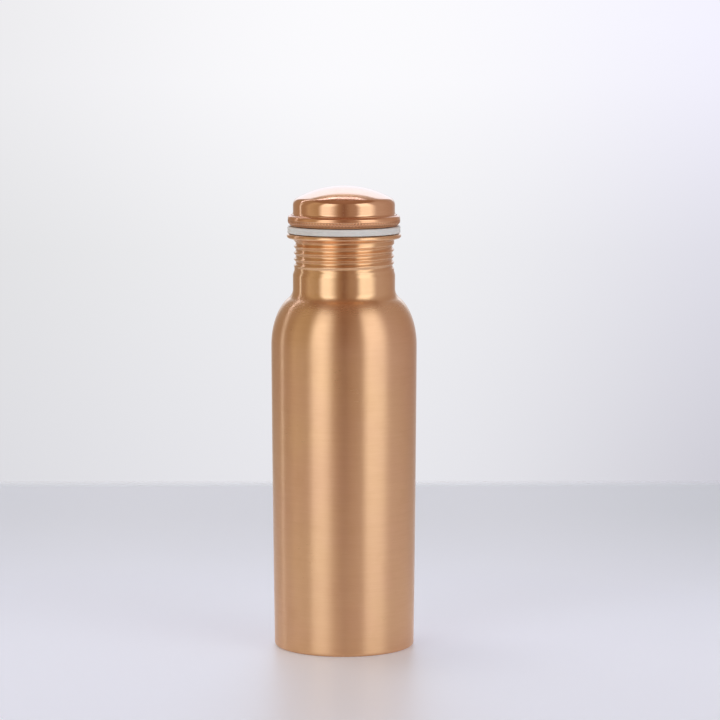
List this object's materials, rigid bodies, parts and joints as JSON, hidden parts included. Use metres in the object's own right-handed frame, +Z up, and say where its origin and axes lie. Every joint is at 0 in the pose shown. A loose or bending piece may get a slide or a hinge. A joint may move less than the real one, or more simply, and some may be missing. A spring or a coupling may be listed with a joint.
{
  "type": "screw-cap water bottle",
  "caption": "Slim copper water bottle with a round shoulder, a rolled thread on the neck, and a domed screw cap with a knurled grip band and a pale sealing ring.",
  "frame": {"origin": "centre of the face the bottle stands on", "axes": "+Z up along the bottle's axis, from the base to the cap"},
  "size_m": [0.07, 0.07, 0.2228],
  "materials": {
    "body_copper": "satin, brushed round the axis",
    "plug_copper": "satin",
    "ring_copper": "knurled, polished",
    "cap_copper": "polished",
    "silicone": "matte, pale blue-white"
  },
  "bodies": {
    "bottle": {"bottle_body": "body_copper"},
    "seal": {"gasket": "silicone"},
    "cap": {"threaded_plug": "plug_copper", "grip_ring": "ring_copper", "cap_shell": "cap_copper"}
  },
  "joints": [
    {"name": "cap_rise", "type": "slide", "parent": "bottle", "child": "seal", "axis": [0, 0, 1], "range_m": [0, 0.02448]},
    {"name": "cap_turn", "type": "hinge", "parent": "seal", "child": "cap", "pos_m": [0, 0, 0.2], "axis": [0, 0, 1], "range_deg": [0, 2880]}
  ],
  "couplings": [
    {"joint": "cap_rise", "follows": "cap_turn", "m_per_rad": 0.00048701}
  ]
}
